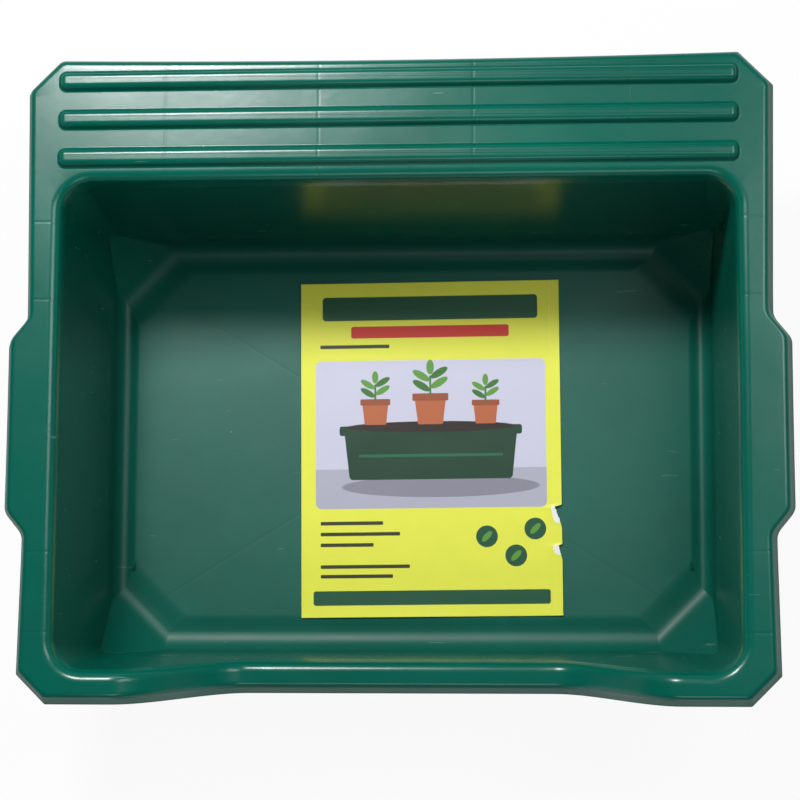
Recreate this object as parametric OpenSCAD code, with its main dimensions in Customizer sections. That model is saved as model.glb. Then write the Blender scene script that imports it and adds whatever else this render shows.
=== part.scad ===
// Potting soil tray: a one-piece moulded basin with a back shelf, and the loose printed sheet that lies in it.
// Millimetres, +Z up, the shelf at +Y. The origin is on the resting plane, under the middle of the outline.

/* [Outline] */
// Width over the skirt, without the grip tabs
body_w = 574; // [550:1:640]
// Depth over the skirt, from the front corners to the back edge
body_d = 497; // [480:1:560]
// Height from the resting plane to the top of the shelf
body_h = 198; // [150:1:240]
// Thickness of the moulded wall
wall = 2.6; // [2.2:0.1:3.6]
// Cut-off at each back corner, along the edge
back_chamfer = 24; // [12:1:40]
// Cut-off at each front corner, along the edge
front_chamfer = 20; // [10:1:36]
// How far each long edge draws in half-way between its corners
edge_bow = 2.6; // [0:0.1:4]

/* [Flange] */
// Back shelf, from the skirt's edge to the basin
shelf_d = 100; // [98:0.5:120]
// Side flange, from the skirt's edge to the basin
side_flange = 30; // [26:0.5:34]
// Front flange at its corners, from the skirt's edge to the basin
front_flange = 25; // [22:0.5:30]
// Depth of the turned-down skirt
skirt_h = 19; // [10:0.5:24]
// How far the skirt flares outward over its depth
skirt_flare = 4; // [3:0.5:7]
// Radius of the rounded rim of the basin
rim_r = 8.5; // [5:0.25:9]
// Radius of the flange's outer edge
edge_r = 5; // [3:0.1:5.5]

/* [Grip tabs] */
// How far each grip tab reaches out from the side
tab_out = 14; // [8:0.5:20]
// Length of a tab along its outer edge
tab_len = 130; // [100:1:150]
// Length of each slanted end of a tab, along the side
tab_slant = 17; // [12:0.5:24]
// Middle of the tabs, measured from the middle of the outline
tab_y = -38.5; // [-60:0.5:-20]

/* [Front lip] */
// How far the cut-away front dips below the shelf
lip_dip = 64; // [30:1:90]
// Half of the straight low stretch of the lip
lip_flat = 118; // [90:1:140]
// Sideways length of each curved end of the dip
lip_curve = 96; // [60:1:98]
// How far the low stretch of the lip is drawn in from the front corners
lip_in = 9; // [4:0.5:12]

/* [Basin] */
// How far each side wall leans in from the rim to the floor
side_lean = 9.5; // [6:0.5:22]
// How far the back wall leans in
back_lean = 14; // [8:0.5:26]
// How far the front wall leans in
front_lean = 19.5; // [12:0.5:30]
// Corner radius of the basin at its rim
rim_corner_r = 23; // [16:1:30]
// Corner radius of the basin just above the corner facets
low_corner_r = 8; // [4:0.5:18]
// Leg of the slanting facet in each corner of the floor
facet_leg = 52; // [34:1:64]
// Height of the facets above the resting plane
facet_h = 46; // [30:1:60]
// Radius between the floor and the walls
floor_r = 14; // [6:0.5:17]
// Width of the level band round the raised floor panel
foot_band = 21.5; // [19:0.5:28]
// How far the floor panel is raised above the band
panel_rise = 3; // [1.5:0.25:5]

/* [Shelf bars] */
// Number of raised bars along the shelf
bar_count = 3; // [1:1:3]
// Distance from one bar to the next
bar_pitch = 30; // [24:0.5:32]
// Width of a bar at the shelf
bar_w = 15.5; // [12:0.5:18]
// Length of a bar
bar_len = 519; // [440:1:524]
// Height of a bar
bar_h = 5.5; // [3:0.25:8]
// Middle of the first bar, measured in from the back edge of the skirt
bar_inset = 21.5; // [20:0.5:25]

/* [Stiffening ribs] */
// Thickness of a rib where it meets the moulding
rib_t = 2; // [1.2:0.1:2.6]
// Depth of the ribs under the flange
rib_h = 15; // [12:0.5:18]
// Distance between the ribs under the shelf
shelf_rib_pitch = 118; // [90:1:140]
// Ribs under each side flange, as distances from the middle of the tabs
side_rib_near = 96; // [86:1:104]
// Outer ribs under each side flange, as distances from the middle of the tabs
side_rib_far = 156; // [130:1:164]

/* [Insert sheet] */
// Width of the printed sheet
sheet_w = 216; // [150:1:230]
// Length of the printed sheet
sheet_l = 279.5; // [200:0.5:300]
// Thickness of the printed sheet
sheet_t = 0.5; // [0.3:0.1:1]
// Gap between the sheet and the floor panel
sheet_gap = 0.3; // [0.2:0.05:0.5]
// Sideways place of the sheet's middle
sheet_x = 16; // [-40:1:40]
// Place of the sheet's middle from front to back
sheet_y = -37; // [-41:0.5:-28]
// Turn of the sheet on the floor, in degrees
sheet_turn = 0.6; // [-3:0.1:3]
// Depth of the two torn notches in the sheet's right edge
tear_d = 6; // [2:0.5:12]

/* [Hidden] */

green = [0.0, 0.36, 0.29];
yellow = [0.91, 0.93, 0.31];
overlap = 0.4;
right_angle_weight = cos(45);

// Places of the main edges, at the level of the skirt's lower edge or of the rim
half_d = body_d / 2;
rim_x = body_w / 2 - side_flange;
rim_back = half_d - shelf_d;
rim_front = half_d - front_flange;
edge_x = body_w / 2 - skirt_flare;
edge_y = half_d - skirt_flare;
floor_top = wall;
drop = body_h - floor_top;
lip_slope = lip_in / lip_dip;

// Steps of the curved stretches
corner_steps = 6;
fillet_steps = 3;
roll_steps = 5;
edge_steps = 3;
under_steps = 3;
curve_steps = 8;

function smooth(t) = t <= 0 ? 0 : t >= 1 ? 1 : t * t * (3 - 2 * t);
function mix(a, b, t) = a + (b - a) * t;

// Right half of the outline, as stations that every ring shares.
// Along the front: sideways places on the low stretch and on the curved end of the dip
front_x = concat([0, lip_flat / 2], [for (k = [0:curve_steps]) lip_flat + lip_curve * k / curve_steps]);
// Along the side: the slanted ends and the straight edge of the grip tab, each corner eased by two stations
tab_half = tab_len / 2;
ease = 4;
side_y = [for (s = [-1, 1]) for (d = s < 0
    ? [tab_half + tab_slant + ease, tab_half + tab_slant - ease, tab_half + ease, tab_half - ease, 0]
    : [tab_half - ease, tab_half + ease, tab_half + tab_slant - ease, tab_half + tab_slant + ease])
    tab_y + s * d];
// Along the back: evenly spread places
back_t = [0.75, 0.5, 0.25, 0];

front_n = len(front_x);
side_n = len(side_y);
half_n = front_n + (corner_steps + 1) + side_n + (corner_steps + 1) + len(back_t);
ring_n = 2 * half_n - 2;

// A rounded or cut corner: a conic from a to b with its apex at c. Weight 0 is a straight cut.
function corner(a, c, b, weight) = [for (k = [0:corner_steps])
    let (t = k / corner_steps, p = (1 - t) * (1 - t), q = 2 * t * (1 - t) * weight, r = t * t)
    (a * p + c * q + b * r) / (p + q + r)];

// How far along a tab's outset a place on the side is, from 0 on the side to 1 on the tab
function tab_share(y) = let (d = abs(y - tab_y)) 1 - smooth_line((d - tab_half) / tab_slant);
function smooth_line(t) = let (e = ease / tab_slant)
    t <= -e ? 0 : t >= 1 + e ? 1 : t < e ? (t + e) * (t + e) / (4 * e) :
    t > 1 - e ? 1 - (1 + e - t) * (1 + e - t) / (4 * e) : t;

// How far the lip has dipped at a sideways place
function dip_share(x) = 1 - smooth((abs(x) - lip_flat) / lip_curve);
function dip_at(i) = i < front_n ? lip_dip * dip_share(front_x[i]) : 0;

// Right half of one ring in plan. ax, yb and yf are the half width and the back and front places,
// eb and ef are the corner lengths, tab and bow are what the grip tab and the drawn-in edges add.
function half_ring(ax, yb, yf, eb, ef, weight, tab, bow) =
    let (squeeze = min(1, (ax - ef - 1) / (lip_flat + lip_curve)), mid = (yb - yf) / 2)
    concat(
        [for (x = front_x) [x * squeeze, -yf]],
        corner([ax - ef, -yf], [ax, -yf], [ax, ef - yf], weight),
        [for (y = side_y) [ax + tab * tab_share(y) - bow * (1 - pow((y - mid) / ((yb + yf) / 2), 2)), y]],
        corner([ax, yb - eb], [ax, yb], [ax - eb, yb], weight),
        [for (t = back_t) [(ax - eb) * t, yb - bow * (1 - t * t)]]);

// Lifts a half ring to height z. Stations on the lip sink by the share of the dip that the ring takes,
// and move inward with it.
function lift(half, z, share) = [for (i = [0:half_n - 1])
    let (sink = dip_at(i) * share) [half[i].x, half[i].y + lip_slope * sink, z - sink]];
function mirrored(half) = concat(half, [for (i = [half_n - 2:-1:1]) [-half[i].x, half[i].y, half[i].z]]);

// Share of the height from the floor to the rim
function rise(z) = (z - floor_top) / drop;

// A corner facet's slope from the floor, and how far its fillet reaches onto the floor
facet_slope = atan((facet_h - floor_top) * sqrt(2) / facet_leg);
facet_run = floor_r * tan(facet_slope / 2);

// How far a facet stands in from its foot at height z, seen from above. Its outer face lies thick outside
// its inner face, and each has its own fillet to the floor.
function facet_in(z, thick) = let (r = floor_r + thick, h = max(0, z - floor_top + thick))
    h < r * (1 - cos(facet_slope)) ? facet_run - sqrt(r * r - pow(r - h, 2))
    : -(z - floor_top) / tan(facet_slope) - thick / sin(facet_slope);

// Corner of the basin at height z, out by a distance from the inner face: cut by the facet near the floor,
// round above it. On the floor the cut widens again towards the panel.
function corner_len(z, out, thick) = z < facet_h
    ? facet_leg + sqrt(2) * facet_in(z, thick) + 2 * max(out, -floor_r) - 0.5 * min(0, out + floor_r)
        + (low_corner_r + thick) * max(0, (z - floor_top) / (facet_h - floor_top))
    : mix(low_corner_r, rim_corner_r, (z - facet_h) / (body_h - facet_h)) + out;
function corner_weight(z) = right_angle_weight * smooth((z - facet_h * 0.7) / (facet_h * 0.4));

// A ring on the basin's wall, out by a distance from its inner face. A ring takes a share of the dip
// that grows from the facets to the rim. Thick is the wall for a ring on the outer face.
function wall_ring(z, out, level = undef, thick = 0) =
    let (w = corner_weight(z), e = corner_len(z, out, thick),
        lean = 1 - rise(z), share = min(1, max(0, (z - facet_h) / (body_h - rim_r - facet_h))))
    mirrored(lift(half_ring(rim_x - side_lean * lean + out, rim_back - back_lean * lean + out,
        rim_front - front_lean * lean + out, e, e, w, 0, 0), is_undef(level) ? z : level, share));

// A ring on the basin's outer face
function outer_ring(z, out) = wall_ring(z, out, undef, wall);

// A ring on the floor, in by a distance from the foot of the wall
function floor_ring(z, in) = wall_ring(floor_top, -in, z);

// A ring on the flange, out by a distance from the basin's rim
function rim_ring(z, out) = mirrored(lift(half_ring(rim_x + out, rim_back + out, rim_front + out,
    rim_corner_r + out, rim_corner_r + out, right_angle_weight, 0, 0), z, 1));

// A ring on the flange's outer edge, out by a distance from its top edge
function edge_ring(z, out) = mirrored(lift(half_ring(edge_x + out, edge_y + out, edge_y + out,
    back_chamfer + out * (2 - sqrt(2)), front_chamfer + out * (2 - sqrt(2)), 0, tab_out, edge_bow), z, 1));

// All rings of the moulding, from the middle of the floor over the rim to the middle of the underside
under = body_h - wall;
skirt_low = body_h - skirt_h;
skirt_turn = atan((skirt_h - edge_r) / skirt_flare);
rings = concat(
    [floor_ring(floor_top + panel_rise, foot_band + panel_rise), floor_ring(floor_top, foot_band),
     floor_ring(floor_top, floor_r)],
    [for (k = [1:fillet_steps]) let (a = 90 * k / fillet_steps, z = floor_top + floor_r * (1 - cos(a)))
        wall_ring(z, -floor_r * (1 - sin(a)) * (1 - side_lean / drop))],
    [for (k = [1:3]) wall_ring(mix(floor_top + floor_r, facet_h, k / 3), 0)],
    [wall_ring(mix(facet_h, body_h, 0.2), 0), wall_ring(mix(facet_h, body_h, 0.6), 0), wall_ring(body_h - rim_r, 0)],
    [for (k = [1:roll_steps]) let (a = 90 * k / roll_steps)
        rim_ring(body_h - rim_r * (1 - sin(a)), rim_r * (1 - cos(a)))],
    [for (k = [0:edge_steps]) let (a = skirt_turn * k / edge_steps)
        edge_ring(body_h - edge_r * (1 - cos(a)), -edge_r * (1 - sin(a)))],
    [edge_ring(skirt_low, skirt_flare), edge_ring(skirt_low, skirt_flare - wall)],
    [for (k = [edge_steps:-1:0]) let (a = skirt_turn * k / edge_steps)
        edge_ring(under - (edge_r - wall) * (1 - cos(a)), -wall - (edge_r - wall) * (1 - sin(a)))],
    [for (k = [under_steps:-1:0]) let (a = 90 * k / under_steps)
        rim_ring(under - (rim_r - wall) * (1 - sin(a)), wall + (rim_r - wall) * (1 - cos(a)))],
    [outer_ring(mix(facet_h, body_h, 0.6), wall), outer_ring(mix(facet_h, body_h, 0.2), wall)],
    [for (k = [3:-1:1]) outer_ring(mix(floor_top + floor_r, facet_h, k / 3), wall)],
    [for (k = [fillet_steps:-1:0]) let (a = 90 * k / fillet_steps)
        outer_ring((floor_r + wall) * (1 - cos(a)), wall - (floor_r + wall) * (1 - sin(a)))],
    [floor_ring(0, foot_band + wall), floor_ring(panel_rise, foot_band + wall + panel_rise)]);

// Places of the ribs under the shelf and under the side flanges
shelf_ribs = [for (k = [-1.5, -0.5, 0.5, 1.5]) k * shelf_rib_pitch];
side_ribs = [for (d = [-side_rib_far, -side_rib_near, side_rib_near, side_rib_far]) tab_y + d];

// Joins rings into one closed skin, with the first and last ring capped
module skin(loops) {
    n = len(loops[0]);
    m = len(loops);
    points = [for (loop = loops) for (p = loop) p];
    sides = [for (j = [0:m - 2]) for (i = [0:n - 1]) let (k = (i + 1) % n) for (f = [
        [j * n + i, (j + 1) * n + k, (j + 1) * n + i], [j * n + i, j * n + k, (j + 1) * n + k]]) f];
    caps = [[for (i = [n - 1:-1:0]) i], [for (i = [0:n - 1]) (m - 1) * n + i]];
    polyhedron(points, concat(sides, caps), convexity = 12);
}

// A bar with slanted sides and rounded corners, which stands on z = 0
module bar_shape(length, width, height, slant, corner_r) {
    hull() {
        linear_extrude(0.01) round_rect(length, width, corner_r);
        translate([0, 0, height - slant / 2]) linear_extrude(0.01)
            round_rect(length - slant, width - slant, corner_r);
        translate([0, 0, height]) linear_extrude(0.01)
            round_rect(length - 2 * slant, width - 2 * slant, corner_r);
    }
}
module round_rect(length, width, corner_r) {
    hull() for (x = [-1, 1], y = [-1, 1])
        translate([x * (length / 2 - corner_r), y * (width / 2 - corner_r)]) circle(corner_r, $fn = 16);
}

// Places every bar of the shelf, the first one nearest the back edge
module each_bar() {
    for (k = [0:bar_count - 1]) translate([0, half_d - bar_inset - k * bar_pitch, body_h - overlap]) children();
}

// A thin rib that hangs under the flange, from the basin's wall to the skirt. It is drawn along +Y from
// the middle of the wall. Length is the way to the middle of the skirt at the top of the rib, and lean is how
// far the basin's wall slants along the rib's depth.
module flange_rib(length, lean) {
    skirt_reach = skirt_flare * rib_h / (skirt_h - wall);
    hull() {
        for (p = [[rim_r * 0.6, under + wall / 2], [0, under - rim_r],
            [length + wall / 2 - edge_r * 0.9, under + wall / 2], [length - rib_t * 0.1, body_h - edge_r * 0.8]])
            translate([0, p.x, p.y]) linear_extrude(overlap) circle(rib_t / 2, $fn = 8);
        for (y = [-lean, length + skirt_reach])
            translate([0, y, under - rib_h]) linear_extrude(overlap) circle(rib_t / 3, $fn = 8);
    }
}

// How far a long edge draws in, at a share of the way from its middle to its end
function bow_at(t) = edge_bow * (1 - t * t);

// A rib under the raised floor panel, from one corner to the other
module floor_rib(from, to, clear) {
    hull() for (p = [from, to])
        translate([p.x, p.y, clear]) linear_extrude(panel_rise) circle(rib_t / 2, $fn = 8);
}

// The hollows under the bars, with the shelf's ribs left standing in them
module bar_hollows() {
    difference() {
        each_bar() translate([0, 0, -wall - overlap])
            bar_shape(bar_len - 2 * wall, bar_w - 2 * wall, bar_h + overlap, 2, 2);
        for (x = shelf_ribs) translate([x - rib_t * 0.4, rim_back, under - rib_h / 2])
            cube([rib_t * 0.8, shelf_d, rib_h]);
    }
}

module tray_moulding() {
    wall_back = rim_back + wall / 2;
    wall_side = rim_x + wall / 2;
    floor_x = rim_x - side_lean - foot_band - facet_leg / 2;
    floor_back = rim_back - back_lean - foot_band - facet_leg / 2;
    floor_front = rim_front - front_lean - foot_band - facet_leg / 2;
    color(green) {
        difference() {
            union() {
                skin(rings);
                each_bar() bar_shape(bar_len, bar_w, bar_h + overlap, 3, 4);
            }
            bar_hollows();
        }
        for (x = shelf_ribs) translate([x, wall_back])
            flange_rib(edge_y - bow_at(x / (edge_x - back_chamfer)) - wall / 2 - wall_back,
                back_lean * rib_h / drop);
        for (s = [-1, 1], y = side_ribs) translate([s * wall_side, y]) rotate(-90 * s)
            flange_rib(edge_x - bow_at(y / edge_y) - wall / 2 - wall_side, side_lean * rib_h / drop);
        floor_rib([-floor_x, floor_back], [floor_x, -floor_front], overlap);
        floor_rib([floor_x, floor_back], [-floor_x, -floor_front], overlap * 1.25);
    }
}

// The loose printed sheet, torn at two places on its right edge
module insert_sheet() {
    color(yellow) translate([sheet_x, sheet_y, floor_top + panel_rise + sheet_gap]) rotate(sheet_turn)
        linear_extrude(sheet_t) difference() {
            square([sheet_w, sheet_l], center = true);
            for (tear = [[-0.2, 0.035], [-0.315, 0.028]])
                translate([sheet_w / 2, tear[0] * sheet_l]) polygon([[0.5, tear[1] * sheet_l],
                    [-tear_d, tear[1] * sheet_l / 2], [-tear_d * 0.7, -tear[1] * sheet_l / 2],
                    [0.5, -tear[1] * sheet_l]]);
        }
}

tray_moulding();
insert_sheet();
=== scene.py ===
"""Looks of a potting soil tray: the green moulded basin and the loose printed sheet that lies in it.

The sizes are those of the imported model, in metres, with the shelf at +Y and the resting plane at z = 0.
"""

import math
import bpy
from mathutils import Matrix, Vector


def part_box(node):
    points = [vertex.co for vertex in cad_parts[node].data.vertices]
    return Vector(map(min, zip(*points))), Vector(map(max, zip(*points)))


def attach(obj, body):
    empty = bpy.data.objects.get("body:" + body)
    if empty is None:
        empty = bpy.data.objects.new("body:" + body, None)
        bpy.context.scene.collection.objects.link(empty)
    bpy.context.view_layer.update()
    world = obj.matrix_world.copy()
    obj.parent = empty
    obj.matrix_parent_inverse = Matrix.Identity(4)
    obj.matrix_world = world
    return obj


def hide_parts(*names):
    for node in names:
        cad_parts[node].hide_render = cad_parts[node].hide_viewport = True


bl_info = {
    "name": "Potting soil tray",
    "version": (1, 0, 0),
    "blender": (4, 5, 0),
    "location": "View3D > Sidebar > Potting tray",
    "description": "Models a moulded potting tray and its printed sheet around the packed frame",
    "category": "Object",
}

import bmesh
import bpy
from bpy.props import FloatProperty, FloatVectorProperty, IntProperty, PointerProperty
from bpy.types import Operator, Panel, PropertyGroup
from mathutils import Vector

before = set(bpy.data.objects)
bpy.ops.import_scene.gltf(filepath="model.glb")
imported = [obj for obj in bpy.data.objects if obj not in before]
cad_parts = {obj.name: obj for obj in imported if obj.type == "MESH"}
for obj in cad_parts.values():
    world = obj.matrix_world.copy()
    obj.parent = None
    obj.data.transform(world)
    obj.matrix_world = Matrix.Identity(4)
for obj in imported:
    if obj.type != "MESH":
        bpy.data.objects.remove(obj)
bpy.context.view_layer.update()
TRAY_LOW, TRAY_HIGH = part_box("tray_moulding")
SHEET_LOW, SHEET_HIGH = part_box("insert_sheet")


def length(name, default, description):
    """A size in metres, as the sidebar shows it."""
    return FloatProperty(name=name, default=default, description=description, subtype="DISTANCE", unit="LENGTH")


def share(name, default, description):
    """A plain number from 0 to 2."""
    return FloatProperty(name=name, default=default, description=description, min=0.0, max=2.0)


def colour(name, default, description):
    """A scene-linear colour."""
    return FloatVectorProperty(name=name, default=default, description=description, subtype="COLOR",
                               size=3, min=0.0, max=1.0)


class TrayShape(PropertyGroup):
    """Sizes of the moulding."""

    body_w: length("Width", 0.574, "Width over the skirt at its corners, without the grip tabs")
    body_d: length("Depth", TRAY_HIGH.y - TRAY_LOW.y, "Depth over the skirt at its corners")
    bar_h: length("Bar height", 0.0055, "Height of the bars on the shelf")
    overall_h: length("Height", TRAY_HIGH.z, "Height to the top of the bars")
    wall: length("Wall", 0.0026, "Thickness of the moulded wall")
    edge_bow: length("Edge bow", 0.0026, "How far a long edge draws in at its middle")
    shelf_d: length("Shelf depth", 0.100, "Skirt edge to basin at the back")
    side_flange: length("Side flange", 0.030, "Skirt edge to basin at the sides")
    front_flange: length("Front flange", 0.025, "Skirt edge to basin at the front corners")
    skirt_h: length("Skirt depth", 0.019, "How far the skirt turns down")
    skirt_flare: length("Skirt flare", 0.004, "How far the skirt leans outward")
    skirt_lip: length("Skirt lip radius", 0.0009, "Radius of the skirt's lower edge")
    rim_r: length("Rim radius", 0.0085, "Radius of the basin's rim")
    edge_r: length("Edge radius", 0.005, "Radius of the flange's outer edge")
    back_cut: length("Back corner cut", 0.024, "Leg of the cut at each back corner")
    front_cut: length("Front corner cut", 0.020, "Leg of the cut at each front corner")
    top_ease: length("Top corner radius", 0.008, "Radius between the flange's edges, at the top")
    low_ease: length("Skirt corner radius", 0.003, "Radius between the flange's edges, at the skirt's foot")
    tab_y: length("Tab place", -0.0385, "Middle of the grip tabs")
    tab_len: length("Tab length", 0.130, "Straight edge of a grip tab")
    tab_slant: length("Tab slant", 0.017, "Slanted end of a grip tab, along the side")
    tab_out: length("Tab reach", 0.014, "How far a grip tab stands out")
    tab_ease: length("Tab ease", 0.004, "Half length of the bend at each corner of a tab")
    lip_dip: length("Lip dip", 0.064, "Depth of the cut-away front")
    lip_flat: length("Lip straight", 0.118, "Half of the lip's straight stretch")
    lip_curve: length("Lip curve", 0.096, "Sideways length of each end of the dip")
    lip_in: length("Lip set-in", 0.009, "How far the low stretch of the lip is drawn in")
    side_lean: length("Side lean", 0.0095, "How far a side wall leans in")
    back_lean: length("Back lean", 0.014, "How far the back wall leans in")
    front_lean: length("Front lean", 0.0195, "How far the front wall leans in")
    rim_corner: length("Rim corner radius", 0.023, "Corner radius of the basin at its rim")
    low_corner: length("Low corner radius", 0.008, "Corner radius of the basin above the facets")
    facet_leg: length("Facet leg", 0.052, "Leg of the corner facets at the floor")
    facet_h: length("Facet height", 0.046, "Height of the corner facets")
    facet_ease: length("Facet edge radius", 0.004, "Radius along the edges of the facets")
    floor_r: length("Floor radius", 0.0135, "Radius between floor and walls")
    foot_band: length("Foot band", 0.0185, "Width of the band round the floor panel")
    panel_rise: length("Panel rise", 0.003, "How far the floor panel is raised")
    panel_ease: length("Panel step", 0.014, "Width of the soft step up to the floor panel")
    side_share: share("Side share", 0.66, "Reach of the floor's radius at the sides")
    front_share: share("Front share", 1.08, "Reach of the floor's radius in front")
    back_share: share("Back share", 0.9, "Reach of the floor's radius behind")
    bar_pitch: length("Bar pitch", 0.030, "Distance between the bars")
    bar_w: length("Bar width", 0.0155, "Width of a bar")
    bar_len: length("Bar length", 0.519, "Length of a bar")
    bar_slant: length("Bar slant", 0.0028, "How far a bar's side slants in")
    bar_crest: length("Bar crest", 0.0026, "Radius along a bar's top")
    bar_inset: length("Bar inset", 0.0215, "Back edge to the middle of the first bar")
    bar_corner: length("Bar corner radius", 0.0058, "Radius of a bar's corners, seen from above")
    support: length("Support", 0.0004, "Distance of the loops that keep the flat faces flat")
    bar_count: IntProperty(name="Bars", default=3, min=1, max=3, description="Number of bars on the shelf")
    rib_t: length("Rib thickness", 0.002, "Thickness of the stiffening ribs")
    rib_h: length("Rib depth", 0.015, "Depth of the ribs under the flange")
    shelf_rib_pitch: length("Shelf rib pitch", 0.118, "Distance between the ribs under the shelf")
    side_rib_near: length("Near side rib", 0.096, "Tab's middle to the nearer ribs under a side flange")
    side_rib_far: length("Far side rib", 0.156, "Tab's middle to the farther ribs under a side flange")


def mix(a, b, t):
    """The value a share t of the way from a to b."""
    return a + (b - a) * t


def smooth(t):
    """An S-curve from 0 to 1."""
    t = min(1.0, max(0.0, t))
    return t * t * (3 - 2 * t)


def spread(start, stop, steps):
    """Evenly spaced values after start, up to and with stop."""
    return [mix(start, stop, (k + 1) / steps) for k in range(steps)]


# The cut that, with its two rounded ends, makes one round corner: a share of the corner's radius.
ROUND_LEG = 0.5858
ARC_STEPS = 7
CUT_STEPS = 4
CORNER_POINTS = 2 * ARC_STEPS + CUT_STEPS + 1


def corner_path(leg, radius):
    """Places round a corner whose apex is at (0, 0): a cut with a rounded end on each side.

    The path runs from the edge along -y to the edge along -x. A leg of ROUND_LEG radii makes one round corner.
    """
    reach = leg + radius * math.tan(math.radians(22.5))
    path = []
    for k in range(ARC_STEPS + 1):
        a = math.radians(45) * k / ARC_STEPS
        path.append((-radius + radius * math.cos(a), -reach + radius * math.sin(a)))
    start = path[-1]
    end = (start[1], start[0])
    for t in [(k + 1) / CUT_STEPS for k in range(CUT_STEPS - 1)]:
        path.append((mix(start[0], end[0], t), mix(start[1], end[1], t)))
    path.extend([(y, x) for x, y in reversed(path[:ARC_STEPS + 1])])
    return reach, path


def stations(s):
    """The places that every loop of the moulding shares: right half from the front's middle to the back's."""
    half = s.tab_len / 2
    bend = [-1.0, -0.6, -0.2, 0.2, 0.6, 1.0]
    offsets = [0.0, half * 0.35, half * 0.7]
    for corner in (half, half + s.tab_slant):
        offsets += [corner + s.tab_ease * b for b in bend]
    ends = [half + s.tab_slant + d for d in (0.010, 0.018)]
    side = sorted([-d for d in offsets[1:] + ends] + offsets + ends)
    lip = [0.0] + spread(0.0, s.lip_flat, 8) + spread(s.lip_flat, s.lip_flat + s.lip_curve, 18)
    row = [("front", x) for x in lip]
    row += [("front_corner", k) for k in range(CORNER_POINTS)]
    row += [("side", s.tab_y + d) for d in side]
    row += [("back_corner", k) for k in range(CORNER_POINTS)]
    row += [("back", t) for t in reversed([0.0] + spread(0.0, 0.96, 14))]
    return row


def tab_share(s, y):
    """How far along the grip tab's outset a place on the side is, from 0 to 1, with eased corners."""
    t = 1 - (abs(y - s.tab_y) - s.tab_len / 2) / s.tab_slant
    e = s.tab_ease / s.tab_slant
    if t <= -e:
        return 0.0
    if t >= 1 + e:
        return 1.0
    if t < e:
        return (t + e) ** 2 / (4 * e)
    if t > 1 - e:
        return 1 - (1 + e - t) ** 2 / (4 * e)
    return t


def loop_points(s, row, loop):
    """The vertices of one closed loop, from its half widths, corner cuts, height and share of the dip."""
    wide, back, front, z = loop["wide"], loop["back"], loop["front"], loop["z"]
    front_reach, front_path = corner_path(loop["front_leg"], loop["round"])
    back_reach, back_path = corner_path(loop["back_leg"], loop["round"])
    squeeze = min(1.0, (wide - front_reach - 0.001) / (s.lip_flat + s.lip_curve))
    slope = s.lip_in / s.lip_dip
    half = []
    for kind, v in row:
        sink = 0.0
        if kind == "front":
            sink = s.lip_dip * (1 - smooth((v - s.lip_flat) / s.lip_curve)) * loop["dip"]
            x, y = v * squeeze, -front
        elif kind == "front_corner":
            dx, dy = front_path[CORNER_POINTS - 1 - v]
            x, y = wide + dx, -(front + dy)
        elif kind == "side":
            along = (v - (back - front) / 2) / ((back + front) / 2)
            x, y = wide + loop["tab"] * tab_share(s, v) - loop["bow"] * (1 - along * along), v
        elif kind == "back_corner":
            dx, dy = back_path[v]
            x, y = wide + dx, back + dy
        else:
            x, y = (wide - back_reach) * v, back - loop["bow"] * (1 - v * v)
        half.append(Vector((x, y + slope * sink, z - sink)))
    return half + [Vector((-p.x, p.y, p.z)) for p in reversed(half[1:-1])]


def facet_cut(s, z, out, thick, shares):
    """Length of a facet's cut at height z, where the walls stand out by a distance from their inner faces.

    The facet's outer face lies thick outside its inner face, and each has its own fillet to the floor.
    Beyond the fillet the cut widens again towards the floor panel. Shares is how far the two walls that meet
    here stand in for each metre of inward distance, added up.
    """
    inward = shares * max(out, -s.floor_r) if out < 0 else 2 * out
    slope = math.atan2((s.facet_h - s.wall) * math.sqrt(2), s.facet_leg)
    radius = s.floor_r + thick
    high = max(0.0, z - s.wall + thick)
    if high < radius * (1 - math.cos(slope)):
        stand = s.floor_r * math.tan(slope / 2) - math.sqrt(radius ** 2 - (radius - high) ** 2)
    else:
        stand = -(z - s.wall) / math.tan(slope) - thick / math.sin(slope)
    share = max(0.0, (z - s.wall) / (s.facet_h - s.wall))
    return s.facet_leg + math.sqrt(2) * stand + inward - 0.5 * min(0.0, out + s.floor_r) + \
        (s.low_corner * ROUND_LEG + thick) * share


def wall_loop(s, z, out, place_z=None, thick=0.0):
    """A loop on the basin's wall at height z, out by a distance from its inner face."""
    top = s.overall_h - s.bar_h
    rise = (z - s.wall) / (top - s.wall)
    low = (z - s.wall) / (s.facet_h - s.wall)
    side, back, front = (k if out < 0 else 1.0 for k in (s.side_share, s.back_share, s.front_share))
    if z < s.facet_h:
        front_leg, back_leg = (facet_cut(s, z, out, thick, side + k) for k in (front, back))
        ease = mix(s.facet_ease, s.low_corner, smooth(low))
    else:
        ease = mix(s.low_corner, s.rim_corner, (z - s.facet_h) / (top - s.facet_h))
        front_leg = back_leg = (ease + out) * ROUND_LEG
    ease = max(0.001, ease + out)
    front_leg, back_leg = (max(leg, ease * ROUND_LEG) for leg in (front_leg, back_leg))
    dip = min(1.0, max(0.0, (z - s.facet_h) / (top - s.rim_r - s.facet_h)))
    lean = 1 - rise
    return {"wide": s.body_w / 2 - s.side_flange - s.side_lean * lean + out * side,
            "back": s.body_d / 2 - s.shelf_d - s.back_lean * lean + out * back,
            "front": s.body_d / 2 - s.front_flange - s.front_lean * lean + out * front,
            "front_leg": front_leg, "back_leg": back_leg, "round": ease,
            "tab": 0.0, "bow": 0.0, "z": z if place_z is None else place_z, "dip": dip}


def floor_loop(s, z, inward):
    """A loop on the floor, in by a distance from the foot of the walls."""
    return wall_loop(s, s.wall, -inward, z)


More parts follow.
